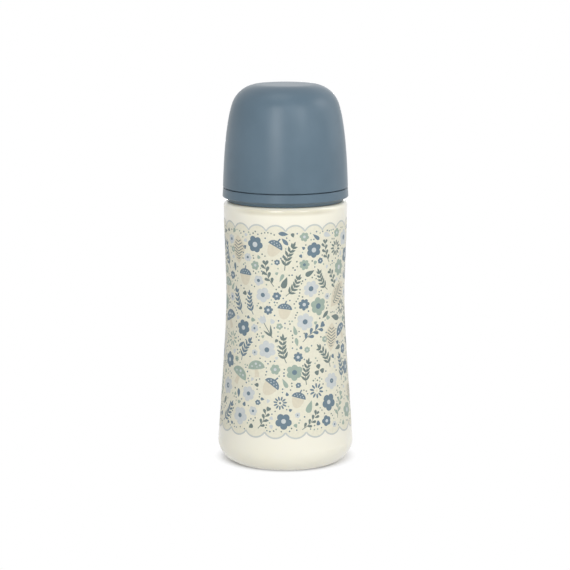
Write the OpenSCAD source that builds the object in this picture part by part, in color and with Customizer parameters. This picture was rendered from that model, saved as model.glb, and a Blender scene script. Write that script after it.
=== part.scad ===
// Wide-neck baby bottle: a waisted bottle, a silicone teat, a screw collar and a domed hood.
// Every piece is turned about +Z, and the teat also has an air vent beside the axis.
// The origin is the centre of the foot, on the table.
// Sizes are in millimetres. All profiles run in the half plane as [radius, height].

/* [Bottle] */
// Widest diameter, just above the foot
body_d = 71.4; // [68:0.1:84]
// Diameter of the waist
waist_d = 62.1; // [58:0.1:67]
// Height of the waist above the table
waist_h = 92.8; // [60:0.1:105]
// Height of the shoulder above the table
shoulder_h = 139; // [122:0.5:180]
// Diameter of the flat that the bottle stands on
foot_d = 45.8; // [40:0.1:52]
// Height of the round corner above the foot
corner_h = 11.5; // [7:0.1:16]
// Inward lean of the side just above the corner, as a slope
side_lean = 0.075; // [0.04:0.005:0.1]
// Radius of the shoulder's outer edge
shoulder_round = 2.2; // [1:0.1:3.2]
// Wall thickness
bottle_wall = 1.8; // [1.2:0.1:2.4]
// Width of the ring that touches the table
foot_ring_w = 4.2; // [3:0.1:8]
// Height of the push-up in the middle of the base
pushup_h = 3; // [1:0.1:6]

/* [Neck] */
// Outer diameter of the neck, without its thread
neck_d = 55; // [52:0.1:64]
// Height of the neck above the shoulder
neck_h = 13.5; // [12:0.1:20]
// Radial room between neck and collar that holds the thread
thread_depth = 1.35; // [1:0.05:2]
// Running gap at the thread
thread_gap = 0.3; // [0.2:0.05:0.5]

/* [Collar] */
// Gap between the shoulder and the collar
collar_lift = 0.3; // [0.2:0.05:1.5]
// Height of the collar below the hood
band_h = 6.65; // [4.5:0.05:8.5]
// Wall of the sleeve that the hood slides over
sleeve_wall = 1.45; // [1:0.05:2.2]
// Thickness of the web that holds the teat
web_t = 2; // [1.4:0.1:3]
// How far the web reaches in from the neck's outer face
web_reach = 5.2; // [4:0.1:7]
// Height of the bevel at the foot of the band
bevel_h = 1.15; // [0.5:0.05:1.8]
// Width of the bevel at the foot of the band
bevel_w = 2.05; // [0.8:0.05:2.4]
// Height of the narrow skirt below the bevel
skirt_h = 1.1; // [0.4:0.05:1.6]
// Height of the snap bead on the sleeve
snap_h = 0.2; // [0.1:0.05:0.28]

/* [Teat] */
// Height of the teat's tip above the collar
teat_h = 37.6; // [32:0.1:48]
// Thickness of the flange between rim and web
flange_t = 1.8; // [1.2:0.1:3]
// Wall thickness of the teat
teat_wall = 2; // [1.2:0.1:2.6]
// Widest diameter of the nipple
nipple_d = 15.6; // [13:0.1:19]
// Length of the nipple above the dome
nipple_h = 18.5; // [14:0.1:22]
// Diameter of the hole in the tip
flow_hole_d = 0.8; // [0.4:0.1:1.2]
// Diameter of the boss that carries the air vent
vent_boss_d = 3.4; // [2.4:0.1:3.6]
// Diameter of the air vent
vent_d = 0.9; // [0.6:0.1:1.4]

/* [Hood] */
// Wall thickness
hood_wall = 1.65; // [1.2:0.05:2.2]
// Radial gap between the hood and the collar's sleeve
hood_gap = 0.35; // [0.3:0.05:0.6]
// Room between the teat's tip and the hood
hood_headroom = 4.1; // [2:0.1:12]
// Diameter of the flat on top
hood_flat_d = 27.3; // [16:0.1:34]
// Radius of the edge around the flat
hood_round = 14.85; // [10:0.05:16]
// Lean of the side where the rounded edge starts, in degrees
hood_lean = 19.3; // [12:0.1:28]

/* [Hidden] */
$fn = 96;

// Clearances and small edges
seat_gap = 0.1;       // flat faces of two pieces that rest on each other
seam_gap = 0.45;      // hood's mouth above the collar's ledge
groove_gap = 0.3;     // collar's web inside the teat's groove
edge = 0.25;          // bevel that breaks a sharp edge
rim_round = 0.8;      // rounding of the bottle's rim
neck_fillet = 0.8;    // fillet at the root of the neck
neck_lip = 1.2;       // rounding inside the bottle at the root of the neck
shoulder_inset = 0.3; // shoulder inside the hood's outer face

// Radii, from the neck outwards, so that every piece follows the neck
neck_r = neck_d / 2;
neck_in_r = neck_r - bottle_wall;
bore_r = neck_r + thread_depth + thread_gap;
sleeve_r = bore_r + sleeve_wall;
hood_in_r = sleeve_r + hood_gap;
hood_r = hood_in_r + hood_wall;
band_r = hood_r;
shoulder_r = hood_r - shoulder_inset;
web_r = neck_r - web_reach;
groove_r = web_r - groove_gap;

// Heights, from the table upwards
rim_z = shoulder_h + neck_h;
collar_z = shoulder_h + collar_lift;
ledge_z = collar_z + band_h;
flange_z = rim_z + seat_gap;
web_z = flange_z + flange_t + seat_gap;
collar_top_z = web_z + web_t;
tip_z = collar_top_z + teat_h;
mouth_z = ledge_z + seam_gap;
hood_top_z = tip_z + hood_headroom + hood_wall;

// ---- Curves ----

// A cubic Bezier curve in steps straight pieces, without its first point when skip is 1
function bezier(a, b, c, d, steps, skip = 0) = [
    for (i = [skip : steps])
        let (t = i / steps, s = 1 - t)
            s * s * s * a + 3 * s * s * t * b + 3 * s * t * t * c + t * t * t * d
];

// An elliptic arc about c from angle a0 to a1, without its first point when skip is 1
function arc(c, rx, rz, a0, a1, steps, skip = 0) = [
    for (i = [skip : steps])
        let (a = a0 + (a1 - a0) * i / steps) c + [rx * cos(a), rz * sin(a)]
];

// The direction of a path at point i
function heading(path, i) =
    let (d = path[min(i + 1, len(path) - 1)] - path[max(i - 1, 0)]) d / norm(d);

// A path moved sideways by w, to its left as it runs
function inset(path, w) = [
    for (i = [0 : len(path) - 1])
        let (d = heading(path, i)) path[i] + w * [-d[1], d[0]]
];

// The same path run backwards
function reversed(path) = [for (i = [len(path) - 1 : -1 : 0]) path[i]];

// ---- Bottle ----

corner_rx = (body_d - foot_d) / 2;
corner_end = atan(side_lean * corner_h / corner_rx);
foot_in_r = foot_d / 2 - foot_ring_w;
side_top_z = shoulder_h - shoulder_round;

// Shape of the side: how far each end keeps its own direction, as a share of the stretch
foot_pull = 0.81;
waist_pull = 0.13;

// Outside of the bottle from the foot's flat to the top of the side
function side_path() =
    let (
        corner = arc([foot_d / 2, corner_h], corner_rx, corner_h, -90, corner_end, 14),
        start = corner[len(corner) - 1],
        waist = [waist_d / 2, waist_h],
        top = [shoulder_r, side_top_z],
        low = waist_h - start[1],
        high = side_top_z - waist_h
    ) concat(
        corner,
        bezier(start, start + foot_pull * low * [-side_lean, 1],
               waist - [0, waist_pull * low], waist, 16, 1),
        bezier(waist, waist + [0, waist_pull * high],
               top - [0, waist_pull * high], top, 12, 1)
    );

// Shoulder, neck and rim, from the top of the side to the rim's inner edge
function neck_path() = concat(
    arc([shoulder_r - shoulder_round, side_top_z], shoulder_round, shoulder_round, 0, 90, 6, 1),
    arc([neck_r + neck_fillet, shoulder_h + neck_fillet], neck_fillet, neck_fillet, 270, 180, 4),
    arc([neck_r - rim_round, rim_z - rim_round], rim_round, rim_round, 0, 90, 4),
    arc([neck_in_r + rim_round / 2, rim_z - rim_round / 2], rim_round / 2, rim_round / 2, 90, 180, 3)
);

// Inside of the shoulder, from the neck down to the top of the inner side
function inner_shoulder_path() =
    let (
        under_z = shoulder_h - bottle_wall,
        side_in_r = shoulder_r - bottle_wall,
        corner = min(shoulder_round, (side_in_r - neck_in_r - neck_lip) * 0.8)
    ) concat(
        arc([neck_in_r + neck_lip, under_z + neck_lip], neck_lip, neck_lip, 180, 270, 4),
        arc([side_in_r - corner, under_z - corner], corner, corner, 90, 0, 5)
    );

// Underside of the base: a shallow push-up inside the foot ring
function pushup_path(lift) = bezier(
    [0, pushup_h + lift], [foot_in_r * 0.5, pushup_h + lift],
    [foot_in_r * 0.7, lift], [foot_in_r, lift], 8
);

module bottle() {
    side = side_path();
    inner_side = [for (p = inset(side, bottle_wall)) if (p[1] < under_shoulder_z()) p];
    color("#efece0")
        rotate_extrude()
            polygon(concat(
                pushup_path(0),
                side,
                neck_path(),
                inner_shoulder_path(),
                reversed(inner_side),
                reversed(pushup_path(bottle_wall))
            ));
}

// Height at which the inner side ends below the shoulder's inner corner
function under_shoulder_z() = shoulder_h - bottle_wall - shoulder_round - 0.4;

// ---- Collar ----

bore_bevel = 0.6;  // lead-in at the foot of the bore
band_lean = 0.04;  // outward slope of the band towards its foot
skirt_rim_w = 0.3; // width of the flat under the skirt, outside the bore's lead-in
sleeve_round = 1;  // outer edge of the sleeve's top
web_edge = 0.5;    // rounding of the web's hole
bead_z = ledge_z + 3.6;
bead_w = 1.6;

// Outside of the sleeve at height z, which leans in as the hood's mouth does
function sleeve_radius(z) = sleeve_r - mouth_lean * (z - ledge_z);

module collar() {
    top_r = sleeve_radius(collar_top_z);
    foot_r = band_r + band_lean * band_h;
    bevel_z = collar_z + skirt_h;
    color("#64788a")
        rotate_extrude()
            polygon(concat(
                [
                    [bore_r + bore_bevel, collar_z],
                    [bore_r + bore_bevel + skirt_rim_w, collar_z],
                    [foot_r - bevel_w, bevel_z],
                    [foot_r - edge, bevel_z + bevel_h * (1 - edge / bevel_w)],
                    [foot_r, bevel_z + bevel_h + edge],
                    [band_r, ledge_z - edge],
                    [band_r - edge, ledge_z],
                    [sleeve_radius(ledge_z), ledge_z],
                    [sleeve_radius(bead_z - bead_w / 2), bead_z - bead_w / 2],
                    [sleeve_radius(bead_z) + snap_h, bead_z],
                    [sleeve_radius(bead_z + bead_w / 2), bead_z + bead_w / 2]
                ],
                arc([top_r - sleeve_round, collar_top_z - sleeve_round],
                    sleeve_round, sleeve_round, 0, 90, 5),
                arc([web_r + web_edge, collar_top_z - web_edge], web_edge, web_edge, 90, 180, 3),
                arc([web_r + web_edge, web_z + web_edge], web_edge, web_edge, 180, 270, 3),
                [
                    [bore_r, web_z],
                    [bore_r, collar_z + bore_bevel]
                ]
            ));
}

// ---- Teat ----

bead_over = 1.3;    // how far the bead above the web reaches past the web's hole
bead_t = 2.2;       // thickness of that bead
nipple_taper = 0.9; // the nipple's radius is this much less at its foot than at its tip
flare_w = 4.6;      // width of the flare from the nipple's foot to the dome
flare_h = 2.6;      // and its height
vent_boss_h = 1.2;  // how far the vent's boss hangs below the flange
teat_in_r = groove_r - teat_wall;

// Outside of the teat above the collar, from the bead to the tip
function teat_path() =
    let (
        z = collar_top_z + seat_gap,
        r0 = web_r + bead_over,
        nr = nipple_d / 2,
        base_z = tip_z - nipple_h,
        slim_r = nr - nipple_taper,
        dome = [slim_r + flare_w, base_z - flare_h]
    ) concat(
        arc([r0 - bead_t / 2, z + bead_t / 2], bead_t / 2, bead_t / 2, -90, 60, 6),
        bezier([r0 - 1, z + bead_t + 0.6], [r0 - 1.2, z + (dome[1] - z) * 0.62],
               dome + [(r0 - dome[0]) * 0.45, -(dome[1] - z) * 0.13], dome, 12),
        bezier(dome, dome + [-3.2, 1.1], [slim_r, base_z - 0.4], [slim_r, base_z + 3.2], 8, 1),
        bezier([slim_r, base_z + 3.2], [slim_r, base_z + 5.6],
               [nr, tip_z - nr - 3], [nr, tip_z - nr], 6, 1),
        arc([0, tip_z - nr], nr, nr, 0, 90 - flow_angle(nr), 10, 1)
    );

// Angle at which a sphere of radius r meets the flow hole
function flow_angle(r) = asin(flow_hole_d / 2 / r);

// The teat without its vent
module teat_form() {
    outer = teat_path();
    above = [for (p = outer) if (p[1] > collar_top_z + bead_t + 1) p];
    inner = inset(above, teat_wall);
    last = len(inner) - 1;
    rotate_extrude()
        polygon(concat(
            [
                [teat_in_r + edge, flange_z],
                [neck_r - edge, flange_z],
                [neck_r, flange_z + edge],
                [neck_r, flange_z + flange_t - edge],
                [neck_r - edge, flange_z + flange_t],
                [groove_r, flange_z + flange_t],
                [groove_r, collar_top_z + seat_gap]
            ],
            outer,
            [[flow_hole_d / 2, tip_z - teat_wall]],
            [for (i = [last - 1 : -1 : 0]) [max(inner[i][0], flow_hole_d / 2), inner[i][1]]],
            [[teat_in_r, flange_z + edge]]
        ));
}

// A short boss under the flange, with a hole that lets air into the bottle as the milk leaves it
module teat() {
    vent_at = [0, (teat_in_r + neck_in_r) / 2, flange_z];
    color("#e9eef0")
        difference() {
            union() {
                teat_form();
                translate(vent_at - [0, 0, vent_boss_h])
                    cylinder(d = vent_boss_d, h = vent_boss_h + flange_t / 2);
            }
            translate(vent_at - [0, 0, 2 * vent_boss_h])
                cylinder(d = vent_d, h = 2 * vent_boss_h + 2 * flange_t);
        }
}

// ---- Hood ----

mouth_lean = 0.022; // inward slope of the side at the mouth
mouth_pull = 0.28;  // how far the mouth keeps that slope, as a share of the side's height
crown_pull = 0.24;  // the same for the lean at the rounded edge

// Outside of the hood from its mouth to the flat on top
function hood_path() =
    let (
        centre = [hood_flat_d / 2, hood_top_z - hood_round],
        start = [hood_r, mouth_z + edge],
        crown = centre + hood_round * [cos(hood_lean), sin(hood_lean)],
        span = crown[1] - start[1]
    ) concat(
        bezier(start, start + mouth_pull * span * [-mouth_lean, 1],
               crown + crown_pull * span * [sin(hood_lean), -cos(hood_lean)], crown, 20),
        arc(centre, hood_round, hood_round, hood_lean, 90, 14, 1)
    );

module hood() {
    outer = hood_path();
    inner = inset(outer, hood_wall);
    groove_w = bead_w + 0.8;
    above = [for (p = inner) if (p[1] > bead_z + groove_w / 2 + 0.3) p];
    color("#64788a")
        rotate_extrude()
            polygon(concat(
                [
                    [hood_in_r + edge, mouth_z],
                    [hood_r - edge, mouth_z]
                ],
                outer,
                [[0, hood_top_z], [0, hood_top_z - hood_wall]],
                reversed(above),
                [
                    [hood_in_radius(bead_z + groove_w / 2), bead_z + groove_w / 2],
                    [hood_in_radius(bead_z) + snap_h, bead_z],
                    [hood_in_radius(bead_z - groove_w / 2), bead_z - groove_w / 2],
                    [hood_in_radius(mouth_z + edge), mouth_z + edge]
                ]
            ));
}

// Inside of the hood near its mouth
function hood_in_radius(z) = hood_in_r - mouth_lean * (z - mouth_z);

bottle();
teat();
collar();
hood();
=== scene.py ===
"""Looks for a wide-neck baby bottle: smooth mouldings, a silicone teat, a print and a studio.

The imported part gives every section, so the smooth pieces and the print follow it.
Blender's own lengths are metres. The print is laid out in millimetres on the unrolled wall:
x runs round the bottle from its front, y runs up from the table.
"""
import math
import random

import bpy
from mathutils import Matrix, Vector
from mathutils.geometry import delaunay_2d_cdt


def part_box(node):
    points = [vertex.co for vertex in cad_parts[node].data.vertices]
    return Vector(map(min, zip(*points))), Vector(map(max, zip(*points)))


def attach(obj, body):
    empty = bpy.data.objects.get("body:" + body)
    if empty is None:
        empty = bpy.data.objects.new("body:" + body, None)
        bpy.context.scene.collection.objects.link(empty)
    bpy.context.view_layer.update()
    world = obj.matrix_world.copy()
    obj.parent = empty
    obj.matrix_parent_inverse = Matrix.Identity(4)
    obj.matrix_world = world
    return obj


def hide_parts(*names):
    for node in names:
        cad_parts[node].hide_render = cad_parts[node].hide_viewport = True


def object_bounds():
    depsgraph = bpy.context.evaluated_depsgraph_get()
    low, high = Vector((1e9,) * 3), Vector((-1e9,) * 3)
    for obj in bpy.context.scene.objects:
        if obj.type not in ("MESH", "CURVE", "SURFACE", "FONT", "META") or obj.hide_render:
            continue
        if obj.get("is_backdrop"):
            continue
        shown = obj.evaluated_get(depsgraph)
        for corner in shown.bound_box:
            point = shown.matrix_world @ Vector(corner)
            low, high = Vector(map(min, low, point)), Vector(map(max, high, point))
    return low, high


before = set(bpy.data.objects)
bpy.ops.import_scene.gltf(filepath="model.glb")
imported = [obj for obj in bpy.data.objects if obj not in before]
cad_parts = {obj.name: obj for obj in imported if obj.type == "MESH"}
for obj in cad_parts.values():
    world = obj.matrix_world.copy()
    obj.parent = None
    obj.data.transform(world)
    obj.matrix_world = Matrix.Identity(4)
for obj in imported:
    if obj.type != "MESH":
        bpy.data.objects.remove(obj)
CAD_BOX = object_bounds()
MM = 0.001


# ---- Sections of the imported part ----

CORNER = math.radians(28)       # an outline turns more sharply than this only at an edge
UNEVEN = 1.8                    # a side this many times longer than the next one is straight
TOUCH = 1e-5                    # points of an outline nearer than this are one, in metres
KEY_SHIFT = 1 / 30              # keeps lengths in round numbers off the step between two keys
FLAT_TURN = math.radians(0.02)  # an outline that turns less than this goes straight on
LONGEST_SIDE = 0.002            # sides of a smoothed outline are at most this long, in metres


def outline(node):
    """A node's section as [Vector((radius, height)), ...] in order, and whether it closes.

    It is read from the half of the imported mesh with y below 0, where all faces are revolved.
    """
    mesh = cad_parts[node].data
    spots, place = [], {}
    for vertex in mesh.vertices:
        x, y, z = vertex.co
        radius = math.hypot(x, y)
        if y < -TOUCH or radius < TOUCH:
            key = (round(radius / TOUCH + KEY_SHIFT), round(z / TOUCH + KEY_SHIFT))
            place[key] = Vector((radius, z))
            spots.append(key)
        else:
            spots.append(None)
    links = {}
    for edge in mesh.edges:
        a, b = (spots[i] for i in edge.vertices)
        if a and b and a != b:
            links.setdefault(a, []).append(b)
            links.setdefault(b, []).append(a)
    ends = sorted(key for key in links if len(set(links[key])) == 1)
    walk = [ends[0] if ends else min(links)]
    while True:
        onward = [key for key in links[walk[-1]] if key not in walk[-2:]]
        if not onward or onward[0] == walk[0]:
            break
        walk.append(onward[0])
    points = [place[key] for key in walk]
    if ends:  # a flat disc may have no vertex of its own on the axis
        points = [Vector((0, points[0].y))] * (points[0].x > TOUCH) + points
        points += [Vector((0, points[-1].y))] * (points[-1].x > TOUCH)
    return without_straights(points, not ends), not ends


def without_straights(points, closed):
    """The outline without the points that lie in the middle of a straight side."""
    kept = []
    for i, here in enumerate(points):
        before, after = points[i - 1], points[(i + 1) % len(points)]
        at_end = not closed and i in (0, len(points) - 1)
        if at_end or (here - before).angle(after - here) > FLAT_TURN:
            kept.append(here)
    return kept


def direction(before, here, after, own):
    """Unit direction of a gently turning outline at here, or own at an edge or an end."""
    if before is None or after is None:
        return own
    back, ahead = here - before, after - here
    if back.angle(ahead) > CORNER:
        return own
    if back.length > UNEVEN * ahead.length:
        return back.normalized()
    if ahead.length > UNEVEN * back.length:
        return ahead.normalized()
    return (back.normalized() * ahead.length + ahead.normalized() * back.length).normalized()


def smoothed(points, closed):
    """The outline with points added along each side, on the curve that the outline follows."""
    count = len(points)
    result = []
    for i in range(count if closed else count - 1):
        a, b = points[i], points[(i + 1) % count]
        before = points[i - 1] if closed or i else None
        after = points[(i + 2) % count] if closed or i + 2 < count else None
        side = b - a
        leaving = direction(before, a, b, side.normalized()) * side.length - side
        arriving = direction(a, b, after, side.normalized()) * side.length - side
        steps = max(2, math.ceil(side.length / LONGEST_SIDE))
        for t in (step / steps for step in range(steps)):
            bent = a + side * t + leaving * t * (1 - t) ** 2
            result.append(bent - arriving * t * t * (1 - t))
    return result if closed else result + [points[-1]]


def radii_at(points, height):
    """Where an outline crosses a height, from the axis outwards."""
    return sorted(
        a.x + (height - a.y) * (b.x - a.x) / (b.y - a.y)
        for a, b in zip(points, points[1:])
        if (a.y > height) != (b.y > height)
    )


# ---- Meshes ----

SEGMENTS = 160              # faces round a turned piece
SHARP = math.radians(32)    # an edge that turns more than this stays crisp
WELD = 1e-6                 # corners nearer than this are joined, in metres


def mesh_object(name, vertices, faces, material):
    """A smooth-shaded mesh whose sharp edges stay crisp, in the scene."""
    mesh = bpy.data.meshes.new(name)
    mesh.from_pydata(vertices, [], faces)
    mesh.update()
    mesh.shade_smooth()
    mesh.set_sharp_from_angle(angle=SHARP)
    mesh.materials.append(material)
    piece = bpy.data.objects.new(name, mesh)
    bpy.context.scene.collection.objects.link(piece)
    piece.modifiers.new("flat_faces_stay_flat", "WEIGHTED_NORMAL").keep_sharp = True
    return piece


def area_of(points):
    """Area inside an outline, below 0 when it runs clockwise."""
    return sum(a.x * b.y - b.x * a.y for a, b in zip(points, points[1:] + points[:1])) / 2


def lathe(name, points, closed, material):
    """Turns an outline round the axis. A point on the axis becomes one vertex."""
    if area_of(points) < 0:
        points = points[::-1]
    vertices, rings = [], []
    for point in points:
        first = len(vertices)
        steps = 1 if point.x < TOUCH else SEGMENTS
        for step in range(steps):
            turn = math.tau * step / SEGMENTS
            radius = point.x if steps > 1 else 0.0
            vertices.append((radius * math.cos(turn), radius * math.sin(turn), point.y))
        rings.append([first + step % steps for step in range(SEGMENTS + 1)])
    faces = []
    for low, high in zip(rings, rings[1:] + (rings[:1] if closed else [])):
        for step in range(SEGMENTS):
            corners = [low[step], low[step + 1], high[step + 1], high[step]]
            face = list(dict.fromkeys(corners))
            if len(face) > 2:
                faces.append(face)
    return mesh_object(name, vertices, faces, material)


# ---- Materials ----

MOTTLE_STOPS = (0.3, 0.7)   # noise at which a mottled colour is darkest, and lightest
INK_SHADE = 0.93            # the darkest that an ink drifts to, as a share of its own colour


def linear(red, green, blue):
    """An 8-bit display colour as the linear colour that Blender's sockets take."""
    def one(value):
        value /= 255
        return value / 12.92 if value <= 0.04045 else ((value + 0.055) / 1.055) ** 2.4
    return (one(red), one(green), one(blue), 1.0)


def principled(name, values):
    """A material whose Principled shader has these values, with its tree and that shader."""
    material = bpy.data.materials.new(name)
    material.use_nodes = True
    tree = material.node_tree
    shader = tree.nodes["Principled BSDF"]
    for socket, value in values.items():
        shader.inputs[socket].default_value = value
    return material, tree, shader


def noise(tree, size, detail=2.0):
    """Noise with features of about size metres, fixed to the piece."""
    place = tree.nodes.new("ShaderNodeTexCoord")
    texture = tree.nodes.new("ShaderNodeTexNoise")
    texture.inputs["Scale"].default_value = 1 / size
    texture.inputs["Detail"].default_value = detail
    tree.links.new(place.outputs["Object"], texture.inputs["Vector"])
    return texture.outputs["Fac"]


def remap(tree, value, start, end, low=0.0, high=1.0):
    """A Map Range node that takes start to low and end to high."""
    spread = tree.nodes.new("ShaderNodeMapRange")
    names = ("From Min", "From Max", "To Min", "To Max")
    for name, limit in zip(names, (start, end, low, high)):
        spread.inputs[name].default_value = limit
    tree.links.new(value, spread.inputs["Value"])
    return spread


def mottle(tree, shader, dark, light, size):
    """Lets the base colour drift between two near shades."""
    ramp = tree.nodes.new("ShaderNodeValToRGB")
    for stop, position, colour in zip(ramp.color_ramp.elements, MOTTLE_STOPS, (dark, light)):
        stop.position, stop.color = position, colour
    tree.links.new(noise(tree, size), ramp.inputs["Fac"])
    tree.links.new(ramp.outputs["Color"], shader.inputs["Base Color"])


def grain(tree, shader, size, depth, strength):
    """A moulded surface's fine texture, as a bump of depth metres."""
    bump = tree.nodes.new("ShaderNodeBump")
    bump.inputs["Strength"].default_value = strength
    bump.inputs["Distance"].default_value = depth
    tree.links.new(noise(tree, size, detail=3.0), bump.inputs["Height"])
    tree.links.new(bump.outputs["Normal"], shader.inputs["Normal"])


def vary_roughness(tree, shader, low, high, size):
    """Lets the polish drift between two values, as on a handled moulding."""
    polish = remap(tree, noise(tree, size), 0.0, 1.0, low, high)
    tree.links.new(polish.outputs["Result"], shader.inputs["Roughness"])


def matt_plastic():
    """Blue-grey polypropylene of the hood and collar, with a fine spark-eroded texture."""
    material, tree, shader = principled("matt_blue_grey", {
        "IOR": 1.46,
        "Specular IOR Level": 0.33,
    })
    mottle(tree, shader, linear(90, 110, 124), linear(96, 116, 130), size=0.018)
    vary_roughness(tree, shader, low=0.3, high=0.36, size=0.006)
    grain(tree, shader, size=0.00035, depth=0.00002, strength=0.35)
    return material


# Painted shade: a tan band below the collar darkens the shoulder's colour where the collar's
# shade falls.
SHOULDER_SHADE_BAND = (0.133, 0.139)  # heights of the band's lower and upper edge, in metres
SHOULDER_UNSHADED = (1.0, 1.0, 1.0, 1.0)
SHOULDER_PAINTED_SHADE = (0.8, 0.785, 0.74, 1.0)
SHOULDER_SHADE_STOPS = (              # place in the band, and the share of the wall's colour that the painted shade leaves there
    (0.3, SHOULDER_UNSHADED),
    (0.52, SHOULDER_PAINTED_SHADE),
    (0.8, SHOULDER_PAINTED_SHADE),
    (0.94, SHOULDER_UNSHADED),
)
SHOULDER_SHADE_TURN = (0.18, 0.45)    # Layer Weight's Facing between which the painted shade fades away


def tone_shoulder(tree, shader):
    """Darkens the base colour with painted shade in a band of the shoulder below the collar,
    less where the wall turns away.
    """
    place = tree.nodes.new("ShaderNodeTexCoord")
    parts = tree.nodes.new("ShaderNodeSeparateXYZ")
    tree.links.new(place.outputs["Object"], parts.inputs["Vector"])
    up = remap(tree, parts.outputs["Z"], *SHOULDER_SHADE_BAND)
    ramp = tree.nodes.new("ShaderNodeValToRGB")
    stops = ramp.color_ramp.elements
    while len(stops) < len(SHOULDER_SHADE_STOPS):
        stops.new(0.5)
    for stop, (position, colour) in zip(stops, SHOULDER_SHADE_STOPS):
        stop.position, stop.color = position, colour
    tree.links.new(up.outputs["Result"], ramp.inputs["Fac"])
    turn = tree.nodes.new("ShaderNodeLayerWeight")
    share = remap(tree, turn.outputs["Facing"], *SHOULDER_SHADE_TURN, low=1.0, high=0.0)
    mix = tree.nodes.new("ShaderNodeMix")
    mix.data_type, mix.blend_type = "RGBA", "MULTIPLY"
    first, second = [socket for socket in mix.inputs if socket.type == "RGBA"]
    result = [socket for socket in mix.outputs if socket.type == "RGBA"][0]
    tree.links.new(share.outputs["Result"], mix.inputs["Factor"])
    tree.links.new(shader.inputs["Base Color"].links[0].from_socket, first)
    tree.links.new(ramp.outputs["Color"], second)
    tree.links.new(result, shader.inputs["Base Color"])


def milky_plastic():
    """Cream translucent polypropylene of the bottle, satin outside."""
    material, tree, shader = principled("milky_cream", {
        "IOR": 1.49,
        "Subsurface Weight": 0.2,
        "Subsurface Scale": 0.004,
        "Subsurface Radius": (1.0, 0.85, 0.6),
        "Coat Weight": 0.5,
        "Coat Roughness": 0.12,
    })
    mottle(tree, shader, linear(243, 239, 221), linear(245, 241, 225), size=0.03)
    # painted shade in a band of the shoulder below the collar
    tone_shoulder(tree, shader)
    vary_roughness(tree, shader, low=0.27, high=0.29, size=0.02)
    grain(tree, shader, size=0.0008, depth=0.00001, strength=0.06)
    return material


def silicone():
    """Clear soft silicone of the teat, a little cloudy."""
    material, tree, shader = principled("silicone", {
        "Base Color": linear(244, 245, 242),
        "IOR": 1.41,
        "Transmission Weight": 0.62,
        "Subsurface Weight": 0.2,
        "Subsurface Scale": 0.003,
        "Subsurface Radius": (1.0, 0.95, 0.85),
    })
    vary_roughness(tree, shader, low=0.2, high=0.3, size=0.004)
    grain(tree, shader, size=0.0005, depth=0.00001, strength=0.2)
    return material


def ink(name, colour):
    """Matt screen-print ink, a little uneven."""
    material, tree, shader = principled("ink_" + name, {"Specular IOR Level": 0.3})
    shade = tuple(channel * INK_SHADE for channel in colour[:3]) + (1.0,)
    mottle(tree, shader, shade, colour, size=0.0012)
    vary_roughness(tree, shader, low=0.38, high=0.46, size=0.002)
    return material


INKS = {
    "ground": linear(232, 229, 210),
    "slate": linear(109, 130, 143),
    "sage": linear(160, 177, 165),
    "moss": linear(114, 129, 126),
    "mist": linear(205, 210, 210),
    "sand": linear(221, 214, 193),
    "border": linear(199, 203, 199),
}


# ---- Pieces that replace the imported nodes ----

def stand_in(piece, node):
    """The piece is shown for the node, and rides where the node does."""
    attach(piece, node)
    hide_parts(node)


def turned_piece(node, material):
    """A revolved node's own shape with even quads; returns its smoothed outline."""
    points, closed = outline(node)
    points = smoothed(points, closed)
    stand_in(lathe("smooth_" + node, points, closed, material), node)
    return points


def welded_piece(node, material):
    """The node's own triangles, joined at their corners so that they shade smoothly."""
    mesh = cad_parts[node].data
    places = {}
    for vertex in mesh.vertices:
        places.setdefault(tuple(round(c / WELD) for c in vertex.co), len(places))
    joined = [places[tuple(round(c / WELD) for c in vertex.co)] for vertex in mesh.vertices]
    faces = [[joined[i] for i in face.vertices] for face in mesh.polygons]
    corners = [[c * WELD for c in key] for key in places]
    stand_in(mesh_object("smooth_" + node, corners, faces, material), node)


BLUE_GREY = matt_plastic()
CREAM = milky_plastic()
bottle_line = turned_piece("bottle", CREAM)
collar_line = turned_piece("collar", BLUE_GREY)
turned_piece("hood", BLUE_GREY)
welded_piece("teat", silicone())


# ---- Screw thread ----

# Millimetres and degrees.

LEAD = 6.0              # rise in one turn, as the collar's joint has it
ROOT_WIDTH = 2.0        # width of a ridge at its root
CREST_WIDTH = 0.8       # width of a ridge at its crest
RUNNING_GAP = 0.3       # between a ridge and the wall across from it
FLANK_GAP = 1.8         # how far the collar's ridge runs below the bottle's
RUN_OUT = 30            # angle over which a ridge sinks into its wall at each end
ROOT_SUNK = 0.3         # how deep a ridge's root lies in its wall
END_SUNK = 0.05         # how deep its crest lies in its wall at its ends
STEP = 5                # angle between two cuts through a ridge
NECK_START = 200        # angle at which the bottle's ridge starts
NECK_SWEEP = 500        # how far it runs round
NECK_FOOT = 1.3         # how high it starts above the collar's lower edge
COLLAR_LATER = 132      # how much further round the collar's ridge starts
COLLAR_SWEEP = 360      # how far that one runs round


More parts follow.
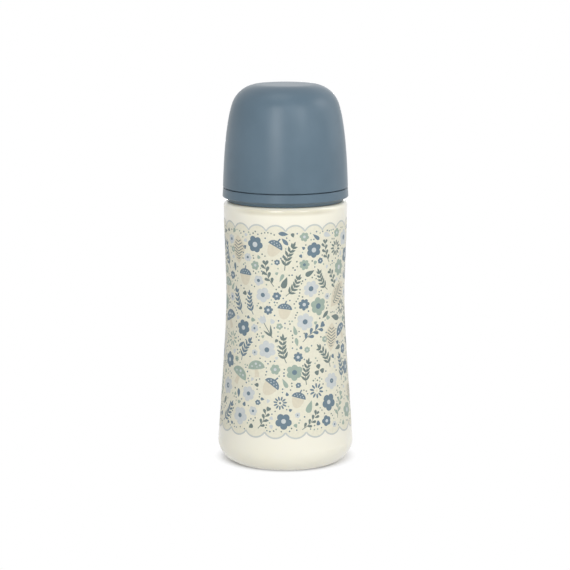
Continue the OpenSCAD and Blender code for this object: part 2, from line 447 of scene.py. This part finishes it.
def ridge(name, wall, crest, low, start, sweep, material, body):
    """A helical ridge from the wall's radius to the crest's, from a height and an angle on."""
    inward = math.copysign(1, wall - crest)
    steps = round(sweep / STEP)
    hidden = wall + inward * END_SUNK
    root = wall + inward * ROOT_SUNK
    vertices = []
    for step in range(steps + 1):
        swept = sweep * step / steps
        turn = math.radians(start + swept)
        rise = low + LEAD * swept / 360
        grown = min(1.0, swept / RUN_OUT, (sweep - swept) / RUN_OUT)
        tip = hidden + (crest - hidden) * math.sin(grown * math.pi / 2)
        for radius, up in ((root, -ROOT_WIDTH / 2), (tip, -CREST_WIDTH / 2),
                           (tip, CREST_WIDTH / 2), (root, ROOT_WIDTH / 2)):
            vertices.append((radius * math.cos(turn) * MM, radius * math.sin(turn) * MM,
                             (rise + up) * MM))
    faces = [[0, 1, 2, 3], [4 * steps + 3, 4 * steps + 2, 4 * steps + 1, 4 * steps]]
    for step in range(steps):
        for side in range(4):
            near, far = 4 * step + side, 4 * step + (side + 1) % 4
            faces.append([near, near + 4, far + 4, far])
    if inward < 0:
        faces = [face[::-1] for face in faces]
    piece = mesh_object(name, vertices, faces, material)
    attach(piece, body)


def add_threads():
    """One ridge round the neck and one inside the collar, which runs just below it."""
    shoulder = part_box("collar")[0].z / MM
    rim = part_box("bottle")[1].z / MM
    middle = (shoulder + rim) / 2 * MM
    neck = radii_at(bottle_line, middle)[-1] / MM
    bore = radii_at(collar_line + collar_line[:1], middle)[0] / MM
    low = shoulder + NECK_FOOT
    ridge("neck_thread", neck, bore - RUNNING_GAP, low,
          NECK_START, NECK_SWEEP, CREAM, "bottle")
    low += LEAD * COLLAR_LATER / 360 - FLANK_GAP
    ridge("collar_thread", bore, neck + RUNNING_GAP, low,
          NECK_START + COLLAR_LATER, COLLAR_SWEEP, BLUE_GREY, "collar")


add_threads()


# ---- Shapes of the print ----
# Each is a list of (layer, ink, outline) in millimetres about its own middle, size across.
# The numbers in these functions are shares of that size, angles, or widths of thin lines.

def polar(count, radius_of):
    """A closed outline about the origin, with a radius for each angle."""
    turns = [math.tau * i / count for i in range(count)]
    return [(radius_of(t) * math.cos(t), radius_of(t) * math.sin(t)) for t in turns]


def moved(points, x, y, turn=0.0):
    """An outline turned about the origin, in degrees, and then moved."""
    c, s = math.cos(math.radians(turn)), math.sin(math.radians(turn))
    return [(x + c * px - s * py, y + s * px + c * py) for px, py in points]


def lowered(shapes, drop_by):
    """A whole shape, moved down so that its middle comes to the origin."""
    return [(layer, kind, moved(points, 0, -drop_by)) for layer, kind, points in shapes]


def dot(x, y, radius, count=12):
    """A circle about (x, y)."""
    return moved(polar(count, lambda t: radius), x, y)


def oval(x, y, turn, length, width, count=10):
    """An ellipse that starts at (x, y) and runs along turn."""
    shape = [(length / 2 + length / 2 * math.cos(math.tau * i / count),
              width / 2 * math.sin(math.tau * i / count)) for i in range(count)]
    return moved(shape, x, y, turn)


def arc(across, up, steps):
    """Half an ellipse from (across, 0) over (0, up) to (-across, 0)."""
    turns = [math.pi * i / steps for i in range(steps + 1)]
    return [(across * math.cos(t), up * math.sin(t)) for t in turns]


def two_sided(length, half_width_at, steps, x, y, turn):
    """An outline symmetric about its length, which starts at (x, y) and runs along turn."""
    side = [(length * i / steps, half_width_at(i / steps)) for i in range(1, steps)]
    shape = [(0, 0)] + [(px, -py) for px, py in side] + [(length, 0)] + side[::-1]
    return moved(shape, x, y, turn)


def leaf(x, y, turn, length, width, fullness=0.8):
    """A leaf with two points, widest nearer its stalk when fullness is below 1."""
    def half_width_at(t):
        return width / 2 * math.sin(math.pi * t ** fullness)
    return two_sided(length, half_width_at, 9, x, y, turn)


def drop(x, y, turn, length, width):
    """A teardrop, pointed at (x, y) and round at its far end."""
    def half_width_at(t):
        return width * 1.15 * t * math.sqrt(1 - t * t)
    return two_sided(length, half_width_at, 12, x, y, turn)


def stroke(points, width, end_width=None):
    """A line of that width through the points, narrowing to end_width."""
    end_width = width if end_width is None else end_width
    left, right = [], []
    for i, (x, y) in enumerate(points):
        ax, ay = points[max(i - 1, 0)]
        bx, by = points[min(i + 1, len(points) - 1)]
        length = math.hypot(bx - ax, by - ay)
        half = (width + (end_width - width) * i / (len(points) - 1)) / 2
        nx, ny = -(by - ay) / length * half, (bx - ax) / length * half
        left.append((x + nx, y + ny))
        right.append((x - nx, y - ny))
    return right + left[::-1]


def bow(length, sag, steps=6, share=1.0):
    """Points along a shallow bow up the y axis, each with its direction in degrees."""
    result = []
    for i in range(steps + 1):
        t = share * i / steps
        slope = math.degrees(math.atan2(length, sag * math.pi * math.cos(math.pi * t)))
        result.append((sag * math.sin(math.pi * t), length * t, slope))
    return result


def stem(length, sag, width=0.42):
    """A line up a shallow bow, thinner at its tip."""
    return stroke([(x, y) for x, y, _ in bow(length, sag)], width, width * 0.6)


def blossom(rng, size):
    """Rounded petals of uneven length in one shape, with an eye."""
    petal = rng.choice(("slate", "slate", "sage", "sage", "mist", "mist", "mist"))
    eye = {"slate": "mist", "sage": rng.choice(("mist", "slate")), "mist": "slate"}[petal]
    half = size / 2
    count = rng.choice((5, 6, 6, 7))
    reach = [rng.uniform(0.86, 1.0) for _ in range(count)]

    def radius_of(turn):
        share = abs(math.cos(turn * count / 2)) ** 0.7
        petal_reach = reach[round(turn * count / math.tau) % count]
        return half * (0.68 + (petal_reach - 0.68) * share)

    return [(0, petal, polar(70, radius_of)),
            (1, eye, dot(0, 0, half * rng.uniform(0.24, 0.3)))]


def daisy(rng, size):
    """Separate narrow petals round a small eye."""
    colour = rng.choice(("moss", "sage", "mist", "slate"))
    count = rng.choice((9, 10, 11))
    half = size / 2
    shapes = [(0, rng.choice(("slate", "sand")), dot(0, 0, half * 0.17))]
    for i in range(count):
        turn = 360 * i / count
        away = math.radians(turn)
        start = (half * 0.36 * math.cos(away), half * 0.36 * math.sin(away))
        shapes.append((0, colour, oval(*start, turn, half * 0.64, half * 0.26)))
    return shapes


def clover(rng, size):
    """Three round leaves with a small gap between them."""
    colour = rng.choice(("sage", "moss", "slate", "mist"))
    shapes = []
    for turn in (90, 210, 330):
        away = math.radians(turn)
        start = (size * 0.05 * math.cos(away), size * 0.05 * math.sin(away))
        shapes.append((0, colour, drop(*start, turn, size * 0.44, size * 0.36)))
    return shapes


def fern(rng, size):
    """A bowed stem with pairs of narrow leaves that shorten to its tip."""
    colour = rng.choice(("moss", "moss", "slate"))
    sag = size * rng.choice((-0.1, 0.1))
    shapes = [(0, colour, stem(size * 0.84, sag))]
    for x, y, turn in bow(size, sag, 5, 0.76)[1:]:
        reach = size * (0.29 - 0.14 * y / size)
        for side in (-1, 1):
            shapes.append((0, colour, leaf(x, y, turn + side * 42, reach, size * 0.085)))
    x, y, _ = bow(size, sag, 1, 0.8)[1]
    shapes.append((0, colour, leaf(x, y, 90, size * 0.2, size * 0.08)))
    return lowered(shapes, size / 2)


def twig(rng, size):
    """A thin stem with plump leaves, first on one side and then on the other."""
    colour = rng.choice(("moss", "moss", "slate", "sage"))
    sag = size * rng.choice((-0.08, 0.08))
    shapes = [(0, "moss", stem(size * 0.86, sag, 0.36))]
    side = rng.choice((-1, 1))
    for x, y, turn in bow(size, sag, 7, 0.8)[1:]:
        shapes.append((0, colour, drop(x, y, turn + side * 38, size * 0.23, size * 0.095)))
        side = -side
    x, y, _ = bow(size, sag, 1, 0.84)[1]
    shapes.append((0, colour, drop(x, y, 90, size * 0.17, size * 0.09)))
    return lowered(shapes, size / 2)


def berries(rng, size):
    """A thin stem with round berries on stalks, first on one side and then on the other."""
    berry = rng.choice(("slate", "moss", "mist"))
    sag = size * 0.08
    shapes = [(0, "moss", stem(size * 0.9, sag, 0.36))]
    side = rng.choice((-1, 1))
    for x, y, turn in bow(size * 0.95, sag, 6)[1:]:
        away = math.radians(turn + side * 48)
        bx, by = x + size * 0.17 * math.cos(away), y + size * 0.17 * math.sin(away)
        shapes.append((0, "moss", stroke([(x, y), (bx, by)], 0.3)))
        shapes.append((0, berry, dot(bx, by, size * 0.058)))
        side = -side
    return lowered(shapes, size / 2)


def tulip(rng, size):
    """A cup with three points on a stem, between two long leaves."""
    colour = rng.choice(("slate", "mist", "sage"))
    half = size * 0.14
    right = [(0.8, 0.35), (1.05, 1.3), (1.1, 2.4), (0.5, 1.7)]
    cup = [(0, 0)] + right + [(0, 2.5)] + [(-x, y) for x, y in reversed(right)]
    return [
        (0, "moss", stroke([(0, -size / 2), (0, size * 0.16)], 0.4)),
        (0, colour, moved([(x * half, y * half) for x, y in cup], 0, size * 0.14)),
        (0, "moss", leaf(0, -size * 0.44, 64, size * 0.46, size * 0.09)),
        (0, "moss", leaf(0, -size * 0.44, 116, size * 0.4, size * 0.09)),
    ]


def fan_leaf(rng, size):
    """A fan on a curved stalk, with a notch in its edge and pale veins."""
    colour, vein = rng.choice((("sage", "mist"), ("moss", "sage"), ("sand", "sage")))
    half = size / 2
    edge = []
    for i in range(17):
        turn = math.radians(28 + 124 * i / 16)
        reach = half * (1 - 0.22 * max(0.0, 1 - abs(i - 8) / 1.6))
        edge.append((reach * math.cos(turn), reach * math.sin(turn)))
    stalk = stroke([(0, half * 0.1), (0, -half * 0.25), (half * 0.1, -half * 0.6)],
                   half * 0.09, half * 0.06)
    shapes = [(0, colour, [(0, 0)] + edge), (0, colour, stalk)]
    for turn in (48, 68, 112, 132):
        away = math.radians(turn)
        ends = [(half * share * math.cos(away), half * share * math.sin(away))
                for share in (0.3, 0.82)]
        shapes.append((1, vein, stroke(ends, half * 0.06)))
    return lowered(shapes, half * 0.2)


def striped_leaf(rng, size):
    """A broad pale leaf crossed by slanting veins."""
    wide = size * 0.6
    shapes = [(0, "sand", leaf(-size / 2, 0, 0, size, wide, 0.9))]
    for i in range(1, 8):
        x = size * (0.1 * i - 0.4)
        reach = wide * 0.36 * math.sin(math.pi * (i + 0.6) / 8.6)
        vein = [(x - reach * 0.25, -reach), (x + 0.3 * reach, 0), (x - reach * 0.25, reach)]
        shapes.append((1, "moss", stroke(vein, 0.45)))
    return shapes


def acorn(rng, size):
    """A pale nut in a dotted cup, on a short stalk."""
    half = size * 0.34
    nut = [(x, half * 0.2 + y) for x, y in arc(half, -size * 0.62, 12)]
    cup = arc(half * 1.14, half * 0.9, 12)
    stalk = stroke([(0, half * 0.8), (half * 0.12, half * 1.35)], size * 0.07)
    shapes = [(0, "sand", nut), (1, "slate", cup), (0, "slate", stalk)]
    for x, y in ((-0.7, 0.25), (-0.25, 0.25), (0.25, 0.25), (0.7, 0.25),
                 (-0.45, 0.55), (0, 0.58), (0.45, 0.55)):
        shapes.append((2, "mist", dot(x * half, y * half, size * 0.028, 8)))
    return lowered(shapes, -size * 0.1)


def toadstool(rng, size):
    """A spotted cap on a pale stalk."""
    colour = rng.choice(("slate", "sage"))
    half = size / 2
    cap = arc(half, half * 0.86, 14) + [(-half * 0.5, -half * 0.1), (half * 0.5, -half * 0.1)]
    stalk = [(-half * 0.2, 0), (-half * 0.28, -half * 0.95), (half * 0.28, -half * 0.95),
             (half * 0.2, 0)]
    shapes = [(0, "sand", stalk), (1, colour, cap)]
    for x, y, radius in ((0, 0.5, 0.14), (-0.5, 0.26, 0.11),
                         (0.48, 0.3, 0.12), (0.1, 0.14, 0.08)):
        shapes.append((2, "mist", dot(x * half, y * half, radius * half, 10)))
    return shapes


def lone_leaf(rng, size):
    """A single leaf or petal."""
    colour = rng.choice(("sage", "sage", "moss", "mist", "slate"))
    shape = rng.choice((leaf, drop))
    return [(0, colour, shape(-size / 2, 0, 0, size, size * rng.choice((0.34, 0.42))))]


def bud(rng, size):
    """A round bud with a point."""
    colour = rng.choice(("slate", "moss", "mist", "sage"))
    return [(0, colour, drop(-size / 2, 0, 0, size, size * 0.7))]


def beads(rng, size):
    """Small dots in a curved row."""
    colour = rng.choice(("moss", "moss", "slate"))
    count = round(size / 1.7)
    places = [i / count - 0.5 for i in range(count + 1)]
    return [(0, colour, dot(size * t, size * 0.12 * math.cos(3 * t), 0.42, 8)) for t in places]


def seed(rng, size):
    """One small dot."""
    return [(0, rng.choice(("moss", "moss", "slate", "sage")), dot(0, 0, size / 2, 8))]


# ---- Layout of the print ----

ROUND = 33.0                # radius that the unrolled wall is laid out on
LOOP = math.tau * ROUND     # its length round the bottle
PRINT_LOW, PRINT_HIGH = 19.7, 130.3     # heights that the two borders reach
SCALLOPS = 20               # arcs in a border
SCALLOP_DEPTH = 3.0         # height of an arc
SCALLOP_STEPS = 12          # straight pieces in an arc
BORDER_WIDTH = 0.8
WINDOW = 12.5               # half the width of the bare strip at the back, for the scale
CLEAR = 0.5                 # least distance between two motifs
PLAN = (                    # shape, smallest and largest size, how many, how it may turn
    (striped_leaf, 15.0, 18.0, 9, "any"),
    (acorn, 9.5, 11.5, 8, "stout"),
    (toadstool, 9.0, 11.0, 9, "stout"),
    (blossom, 8.6, 10.2, 34, "disc"),
    (fern, 13.0, 16.5, 22, "upright"),
    (twig, 12.0, 16.0, 24, "upright"),
    (tulip, 13.0, 16.0, 16, "upright"),
    (berries, 11.0, 14.5, 18, "upright"),
    (fan_leaf, 9.0, 11.0, 14, "stout"),
    (daisy, 6.6, 8.6, 36, "disc"),
    (blossom, 4.8, 6.4, 60, "disc"),
    (clover, 5.6, 6.8, 24, "disc"),
    (lone_leaf, 4.5, 8.0, 90, "any"),
    (blossom, 3.2, 4.0, 50, "disc"),
    (beads, 4.5, 8.5, 60, "any"),
    (bud, 1.9, 3.0, 120, "disc"),
    (seed, 0.75, 0.95, 800, "disc"),
)
TRIES = 80                  # for each motif wanted
LAYOUT_SEED = 41
CELL = 6.0                  # side of a cell in which taken circles are looked up
COLUMNS = math.ceil(LOOP / CELL)
COVER = 5                   # circles that cover a long motif
COVER_RADIUS = 0.17         # radius of each, as a share of the motif's length


class Layout:
    """Circles already taken on the unrolled wall, found by cell."""

    def __init__(self):
        self.cells = {}

    def near(self, x, y, reach):
        """Circles in the cells within reach of a point."""
        span = math.ceil(reach / CELL)
        column, row = math.floor(x / CELL), math.floor(y / CELL)
        for i in range(column - span, column + span + 1):
            for j in range(row - span, row + span + 1):
                yield from self.cells.get((i % COLUMNS, j), ())

    def free(self, circles):
        """Whether the circles keep clear of the borders, the window and what is taken."""
        for x, y, radius in circles:
            low, high = PRINT_LOW + SCALLOP_DEPTH, PRINT_HIGH - SCALLOP_DEPTH
            if y - radius < low or y + radius > high:
                return False
            if abs(x - LOOP / 2) < WINDOW + radius + CLEAR:
                return False
            for ox, oy, other in self.near(x, y, radius + PLAN[0][2] / 2):
                across = abs(x - ox) % LOOP
                across = min(across, LOOP - across)
                if math.hypot(across, y - oy) < radius + other + CLEAR:
                    return False
        return True

    def take(self, circles):
        for x, y, radius in circles:
            cell = (math.floor(x / CELL) % COLUMNS, math.floor(y / CELL))
            self.cells.setdefault(cell, []).append((x, y, radius))


def footprint(way, size, x, y, turn):
    """Circles that cover a motif in its place: one for a round motif, else a row of them."""
    if way in ("disc", "stout"):
        return [(x % LOOP, y, size / 2)]
    length_turn = turn + 90 if way == "upright" else turn
    row = [(size * (i - COVER // 2) / COVER, 0) for i in range(COVER)]
    return [(cx % LOOP, cy, size * COVER_RADIUS) for cx, cy in moved(row, x, y, length_turn)]


def scatter():
    """The whole pattern, as (layer, ink, outline in place on the unrolled wall)."""
    rng = random.Random(LAYOUT_SEED)
    layout = Layout()
    placed = []
    for shape, small, large, wanted, way in PLAN:
        made = 0
        for _ in range(wanted * TRIES):
            if made == wanted:
                break
            size = rng.uniform(small, large)
            x, y = rng.uniform(0, LOOP), rng.uniform(PRINT_LOW, PRINT_HIGH)
            turn = rng.gauss(0, 24) if way in ("upright", "stout") else rng.uniform(0, 360)
            circles = footprint(way, size, x, y, turn)
            if layout.free(circles):
                layout.take(circles)
                made += 1
                placed += [(layer, kind, moved(points, x, y, turn))
                           for layer, kind, points in shape(rng, size)]
    return placed


# ---- Print on the wall ----

GROUND_RISE = 0.015     # height above the wall of the pale coat under the print
INK_RISE = 0.035        # of the first layer of ink
LAYER_RISE = 0.02       # and of each further layer above the one below it
INK_SUNK = 0.05         # depth of every underside in the wall
WEAVE = 1.6             # spacing of the points that bend a shape round the wall
SAME_POINT = 1e-4       # points of a filled shape nearer than this are one
INSIDE_ONLY = 1         # delaunay_2d_cdt's output type that keeps the triangles inside
GROUND_ROWS = 28        # faces up the pale coat
SCALE_STEP, SCALE_NUMBERED, SCALE_TOP = 10, 60, 360     # millilitres
ML = 1e6                # millilitres in a cubic metre
MARK_LONG, MARK_SHORT, MARK_THICK = 8.0, 3.5, 0.4
NUMBER_SIZE = 5.0
WALL_TOP = 138          # height up to which the wall's radius is looked up
WALL = [radii_at(bottle_line, height * MM)[-1] / MM for height in range(1, WALL_TOP)]


def wall_radius(height):
    """Outer radius of the bottle at a height, between those in WALL, which start at 1 mm."""
    place = max(0.0, height - 1)
    low = min(int(place), len(WALL) - 2)
    return WALL[low] + (WALL[low + 1] - WALL[low]) * (place - low)


def on_wall(x, y, rise):
    """A point of the unrolled wall, at its place in the frame. x is 0 at the front."""
    turn = x / ROUND - math.pi / 2
    radius = (wall_radius(y) + rise) * MM
    return (radius * math.cos(turn), radius * math.sin(turn), y * MM)


def true_width(points):
    """An outline narrowed or widened about its middle, to keep its shape on the real wall."""
    x, y = (sum(p[i] for p in points) / len(points) for i in (0, 1))
    share = ROUND / wall_radius(y)
    return [(x + (px - x) * share, py) for px, py in points]


def divided(points):
    """An outline with extra points along its long edges, to bend them round the wall."""
    result = []
    for (ax, ay), (bx, by) in zip(points, points[1:] + points[:1]):
        count = max(1, math.ceil(math.hypot(bx - ax, by - ay) / WEAVE))
        for i in range(count):
            result.append((ax + (bx - ax) * i / count, ay + (by - ay) * i / count))
    return result


def filled(points):
    """A filled outline as points and triangles, with extra points inside a large one."""
    corners = [Vector(point) for point in divided(points)]
    left, right = min(p.x for p in corners), max(p.x for p in corners)
    low, high = min(p.y for p in corners), max(p.y for p in corners)
    extra = []
    if right - left > 2 * WEAVE:
        for i in range(1, math.ceil((right - left) / WEAVE)):
            for j in range(1, math.ceil((high - low) / WEAVE)):
                extra.append(Vector((left + i * WEAVE, low + j * WEAVE)))
    border = list(range(len(corners)))
    result = delaunay_2d_cdt(corners + extra, [], [border], INSIDE_ONLY, SAME_POINT)
    return result[0], result[2]


class Film:
    """The mesh of one ink: thin closed shapes that follow the wall."""

    def __init__(self):
        self.vertices, self.faces = [], []

    def add(self, spots, faces, rise):
        """Adds a filled shape, from its underside in the wall to its top."""
        base, count = len(self.vertices), len(spots)
        self.vertices += [on_wall(p[0], p[1], rise) for p in spots]
        self.vertices += [on_wall(p[0], p[1], -INK_SUNK) for p in spots]
        edges = set()
        for face in faces:
            self.faces.append([base + i for i in face])
            self.faces.append([base + count + i for i in reversed(face)])
            edges.update(zip(face, face[1:] + face[:1]))
        for a, b in edges:
            if (b, a) not in edges:
                self.faces.append([base + b, base + a, base + count + a, base + count + b])

    def finish(self, name, material):
        """Puts the ink in the scene, on the bottle."""
        piece = mesh_object(name, self.vertices, self.faces, material)
        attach(piece, "bottle")


def scallop(x):
    """How far the border dips at x: 0 at an arc's middle, SCALLOP_DEPTH between two arcs."""
    chord = LOOP / SCALLOPS
    radius = (chord * chord / 4 + SCALLOP_DEPTH ** 2) / (2 * SCALLOP_DEPTH)
    across = (x % chord) - chord / 2
    return radius - math.sqrt(radius * radius - across * across)


def add_borders(film):
    """A line of arcs above the print, and one below it that leaves the scale free."""
    chord = LOOP / SCALLOPS
    step = chord / SCALLOP_STEPS
    for height, up in ((PRINT_HIGH, 1), (PRINT_LOW, -1)):
        for i in range(SCALLOPS):
            if height == PRINT_LOW and abs((i + 0.5) * chord - LOOP / 2) < WINDOW:
                continue
            xs = [(i * SCALLOP_STEPS + j) * step for j in range(SCALLOP_STEPS + 1)]
            xs[-1] -= step / 1000   # at the full length the next arc begins
            line = [(x, height - up * scallop(x)) for x in xs]
            film.add(*filled(stroke(line, BORDER_WIDTH)), INK_RISE)


def add_ground(film):
    """The pale coat under the print, from border to border, which leaves the window bare."""
    columns, rows = SCALLOPS * SCALLOP_STEPS, GROUND_ROWS
    start, end = LOOP / 2 + WINDOW, LOOP * 3 / 2 - WINDOW
    spots, faces = [], []
    for i in range(columns + 1):
        x = start + (end - start) * i / columns
        low, high = PRINT_LOW + scallop(x), PRINT_HIGH - scallop(x)
        spots += [(x, low + (high - low) * j / rows) for j in range(rows + 1)]
    for i in range(columns):
        for j in range(rows):
            a, b = i * (rows + 1) + j, (i + 1) * (rows + 1) + j
            faces.append([a, b, b + 1, a + 1])
    film.add(spots, faces, GROUND_RISE)


def filled_to(volumes):
    """Heights in millimetres to which the bottle holds these volumes, in millilitres."""
    path = bottle_line if bottle_line[0].y > bottle_line[-1].y else bottle_line[::-1]
    heights, held = [], 0.0
    for a, b in zip(path, path[1:]):
        part = math.pi / 3 * (a.x * a.x + a.x * b.x + b.x * b.x) * (b.y - a.y) * ML
        while len(heights) < len(volumes) and part > 0 and held + part >= volumes[len(heights)]:
            share = (volumes[len(heights)] - held) / part
            heights.append((a.y + (b.y - a.y) * share) / MM)
        held += part
    return heights


def add_scale(film):
    """Marks and plain numbers up the window, at the heights of those volumes."""
    back = LOOP / 2
    volumes = list(range(SCALE_STEP, SCALE_TOP + 1, SCALE_STEP))
    for volume, height in zip(volumes, filled_to(volumes)):
        numbered = volume % SCALE_NUMBERED == 0
        reach = MARK_LONG if numbered else MARK_SHORT
        start = back - MARK_LONG
        bar = stroke([(start, height), (start + reach, height)], MARK_THICK)
        film.add(*filled(bar), INK_RISE)
        if numbered:
            text = bpy.data.curves.new("number", "FONT")
            text.body, text.size, text.align_y = str(volume), NUMBER_SIZE, "CENTER"
            glyphs = bpy.data.meshes.new_from_object(bpy.data.objects.new("number", text))
            spots = [(back + 2 * MARK_THICK + v.co.x, height + v.co.y) for v in glyphs.vertices]
            film.add(spots, [list(face.vertices) for face in glyphs.polygons], INK_RISE)


def add_print():
    """The coat, the borders, the scale and the motifs, as one piece for each ink."""
    films = {name: Film() for name in INKS}
    add_ground(films["ground"])
    add_borders(films["border"])
    add_scale(films["slate"])
    for layer, kind, points in scatter():
        films[kind].add(*filled(true_width(points)), INK_RISE + LAYER_RISE * layer)
    for name, film in films.items():
        film.finish("print_" + name, ink(name, INKS[name]))


add_print()


# ---- Studio ----

CAMERA_AT = (-0.00024, -1.150, 0.2952)
CAMERA_DIP = 9.92       # degrees below the horizon
CAMERA_LENS = 140.15    # focal length and sensor width, in millimetres
SENSOR = 36.0
CAMERA_END = 50.0       # how far the camera sees, past the table's far edge
WORLD_LIGHT = 0.28
TABLE_SIZE = 24.0
TABLE_COLOUR = (0.8, 0.8, 0.8, 1.0)
TABLE_GLOW = 0.1                    # light that the table gives where it keeps the shadow
TABLE_MIDDLE = (0.0, 0.008, 0.0)    # point about which the shadow is kept
TABLE_FADE = (0.030, 0.0385)        # distances from there over which it gives way to white
LAMPS = (               # name, place, point that it faces, width, height, watts
    ("key", (0.42, -0.95, 0.7), (0, 0, 0.1), 0.7, 0.7, 2.3),
    ("strip", (-0.27, -0.83, 0.46), (0, 0, 0.17), 0.34, 0.6, 3.75),
    ("second_strip", (0.47, -0.7, 0.56), (0, 0, 0.17), 0.14, 0.3, 0.72),
    ("far_side", (0.95, -0.6, 0.6), (0, 0, 0.1), 0.7, 0.7, 1.1),
    ("side", (0.85, 0.25, 0.5), (0, 0, 0.14), 0.5, 0.8, 0.92),
    ("high_side", (0.88, 0.0, 0.72), (0, 0, 0.16), 0.45, 0.45, 1.6),
    ("overhead", (-0.12, -0.12, 1.0), (0, 0, 0.18), 0.4, 0.4, 0.8),
    ("back", (0.0, 1.3, 0.5), (0, 0, 0.2), 0.8, 0.22, 0.18),
    ("rear", (0.0, 1.2, 0.1), (0, 0, 0.1), 0.26, 0.15, 1.6),
)


def add_camera():
    """The photograph's camera."""
    data = bpy.data.cameras.new("camera")
    data.lens = CAMERA_LENS
    data.sensor_width = SENSOR
    data.clip_end = CAMERA_END
    camera = bpy.data.objects.new("camera", data)
    camera.location = CAMERA_AT
    camera.rotation_euler = (math.radians(90 - CAMERA_DIP), 0, 0)
    bpy.context.scene.collection.objects.link(camera)
    bpy.context.scene.camera = camera


def softbox(name, at, aim, width, height, watts):
    """A white rectangular lamp at one point that faces another."""
    data = bpy.data.lights.new(name, "AREA")
    data.shape = "RECTANGLE"
    data.size, data.size_y = width, height
    data.energy = watts
    lamp = bpy.data.objects.new(name, data)
    lamp.location = at
    lamp.rotation_euler = (Vector(aim) - Vector(at)).to_track_quat("-Z", "Y").to_euler()
    bpy.context.scene.collection.objects.link(lamp)


def white_when_seen(tree, output, light, seen):
    """Gives output the shader seen for the camera, gloss and glass, and light otherwise."""
    path = tree.nodes.new("ShaderNodeLightPath")
    rays = path.outputs["Is Camera Ray"]
    for kind in ("Is Glossy Ray", "Is Transmission Ray"):
        either = tree.nodes.new("ShaderNodeMath")
        either.operation = "MAXIMUM"
        tree.links.new(rays, either.inputs[0])
        tree.links.new(path.outputs[kind], either.inputs[1])
        rays = either.outputs["Value"]
    mix = tree.nodes.new("ShaderNodeMixShader")
    tree.links.new(rays, mix.inputs["Fac"])
    tree.links.new(light, mix.inputs[1])
    tree.links.new(seen, mix.inputs[2])
    tree.links.new(mix.outputs["Shader"], output.inputs["Surface"])


def background(tree, strength):
    """White light from all round."""
    node = tree.nodes.new("ShaderNodeBackground")
    node.inputs["Color"].default_value = (1.0, 1.0, 1.0, 1.0)
    node.inputs["Strength"].default_value = strength
    return node.outputs["Background"]


def add_world():
    """Even light from all round, which looks white."""
    world = bpy.data.worlds.new("studio")
    bpy.context.scene.world = world
    world.use_nodes = True
    tree = world.node_tree
    tree.nodes.clear()
    output = tree.nodes.new("ShaderNodeOutputWorld")
    white_when_seen(tree, output, background(tree, WORLD_LIGHT), background(tree, 1.0))


def glow(tree, strength):
    """White light from a surface."""
    node = tree.nodes.new("ShaderNodeEmission")
    node.inputs["Strength"].default_value = strength
    return node.outputs["Emission"]


def add_table():
    """A white table that keeps the object's shadow and turns to plain white away from it."""
    material = bpy.data.materials.new("white_table")
    material.use_nodes = True
    tree = material.node_tree
    tree.nodes.clear()
    matt = tree.nodes.new("ShaderNodeBsdfDiffuse")
    matt.inputs["Color"].default_value = TABLE_COLOUR
    lifted = tree.nodes.new("ShaderNodeAddShader")
    tree.links.new(matt.outputs["BSDF"], lifted.inputs[0])
    tree.links.new(glow(tree, TABLE_GLOW), lifted.inputs[1])
    place = tree.nodes.new("ShaderNodeTexCoord")
    away = tree.nodes.new("ShaderNodeVectorMath")
    away.operation = "DISTANCE"
    away.inputs[1].default_value = TABLE_MIDDLE
    tree.links.new(place.outputs["Object"], away.inputs[0])
    fade = remap(tree, away.outputs["Value"], *TABLE_FADE)
    fade.interpolation_type = "SMOOTHSTEP"
    seen = tree.nodes.new("ShaderNodeMixShader")
    tree.links.new(fade.outputs["Result"], seen.inputs["Fac"])
    tree.links.new(lifted.outputs["Shader"], seen.inputs[1])
    tree.links.new(glow(tree, 1.0), seen.inputs[2])
    output = tree.nodes.new("ShaderNodeOutputMaterial")
    white_when_seen(tree, output, matt.outputs["BSDF"], seen.outputs["Shader"])
    half = TABLE_SIZE / 2
    corners = [(-half, -half, 0), (half, -half, 0), (half, half, 0), (-half, half, 0)]
    mesh_object("table", corners, [[0, 1, 2, 3]], material)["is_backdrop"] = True


add_camera()
add_world()
add_table()
for lamp in LAMPS:
    softbox(*lamp)

bpy.context.scene.view_settings.view_transform = "Standard"

boxes = {"cad": CAD_BOX, "visual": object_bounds()}
{name: [list(corner) for corner in box] for name, box in boxes.items()}
